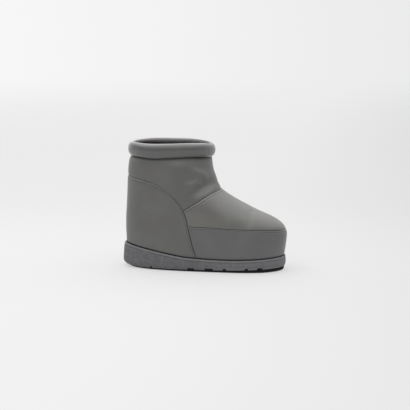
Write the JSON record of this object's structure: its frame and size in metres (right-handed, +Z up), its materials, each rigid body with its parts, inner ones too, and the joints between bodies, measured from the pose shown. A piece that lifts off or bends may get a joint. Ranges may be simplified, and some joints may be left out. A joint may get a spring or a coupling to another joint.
{
  "type": "padded leather ankle boot",
  "caption": "Grey leather ankle boot, hollow, with a stuffed roll collar, arched heel counter, vamp and front guard on a lugged wedge sole; stands on its sole and takes either foot.",
  "frame": {"origin": "on the floor under the middle of the boot's length and width", "axes": "+X from heel to toe, +Y across towards the far side of the picture, +Z up"},
  "size_m": [0.28, 0.1116, 0.2157],
  "materials": {
    "leather": "smooth grey leather, low satin gloss, fine grain",
    "collar_leather": "soft grey leather over padding, satin",
    "sole_rubber": "moulded grey rubber, matt, finely mottled",
    "footbed_fabric": "dark brushed lining cloth"
  },
  "bodies": {
    "root": {"outsole": "sole_rubber", "insole": "footbed_fabric", "upper": "leather", "vamp": "leather", "mudguard": "leather", "counter": "leather", "collar": "collar_leather"}
  },
  "joints": []
}
